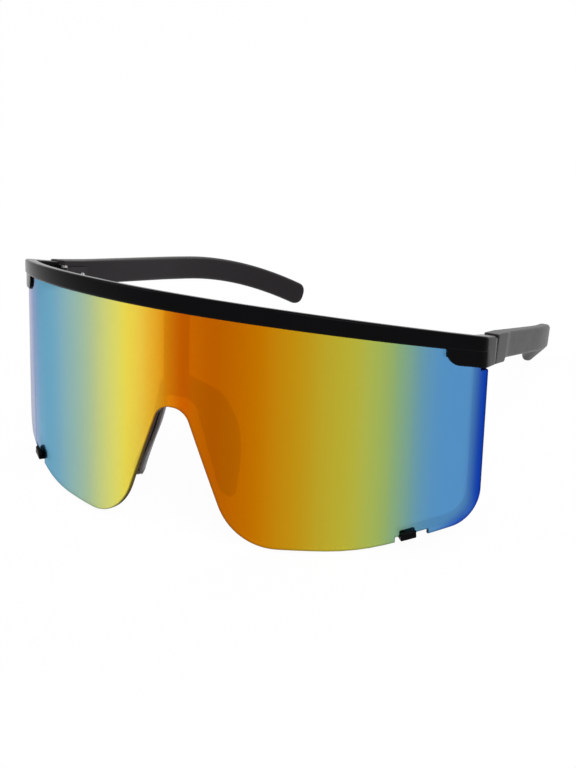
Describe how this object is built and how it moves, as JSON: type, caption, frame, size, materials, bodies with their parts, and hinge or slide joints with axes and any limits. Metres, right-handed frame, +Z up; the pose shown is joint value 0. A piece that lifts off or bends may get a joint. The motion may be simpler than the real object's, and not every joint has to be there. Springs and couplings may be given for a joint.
{
  "type": "shield sunglasses",
  "caption": "Sunglasses with one wide wrapped gradient lens hung from a brow bar, a nose bridge with soft pads, and two temples that fold on barrel hinges.",
  "frame": {"origin": "on the table, in the middle of the box that the glasses fill when they stand open on the lens's lower edge and the temple tips", "axes": "+X to the wearer's left, +Y from the lens back to the temple tips, +Z up"},
  "size_m": [0.1434, 0.1555, 0.0682],
  "materials": {
    "frame_plastic": "glossy black moulded plastic",
    "lens_gradient": "smooth mirrored lens, blue to yellow to orange to green to blue across its width",
    "bridge_plastic": "matte dark moulded plastic",
    "pad_rubber": "soft dark grey rubber",
    "hinge_steel": "stamped steel with a dark coat",
    "screw_steel": "turned steel",
    "temple_plastic": "smooth dark grey moulded plastic"
  },
  "bodies": {
    "front": {"front_frame": "frame_plastic", "lens": "lens_gradient", "nose_bridge": "bridge_plastic", "nose_pad_left": "pad_rubber", "nose_pad_right": "pad_rubber", "hinge_front_leaf_left": "hinge_steel", "hinge_front_leaf_right": "hinge_steel", "hinge_pin_left": "screw_steel", "hinge_pin_right": "screw_steel", "front_leaf_screws_left": "screw_steel", "front_leaf_screws_right": "screw_steel"},
    "temple_left": {"temple_left": "temple_plastic", "hinge_temple_leaf_left": "hinge_steel", "temple_leaf_screws_left": "screw_steel"},
    "temple_right": {"temple_right": "temple_plastic", "hinge_temple_leaf_right": "hinge_steel", "temple_leaf_screws_right": "screw_steel"}
  },
  "joints": [
    {"name": "hinge_left", "type": "hinge", "parent": "front", "child": "temple_left", "pos_m": [0.06531, -0.02893, 0.04683], "axis": [0, 0.3072, 0.9516], "range_deg": [0, 88]},
    {"name": "hinge_right", "type": "hinge", "parent": "front", "child": "temple_right", "pos_m": [-0.06531, -0.02893, 0.04683], "axis": [0, -0.3072, -0.9516], "range_deg": [0, 73]}
  ]
}
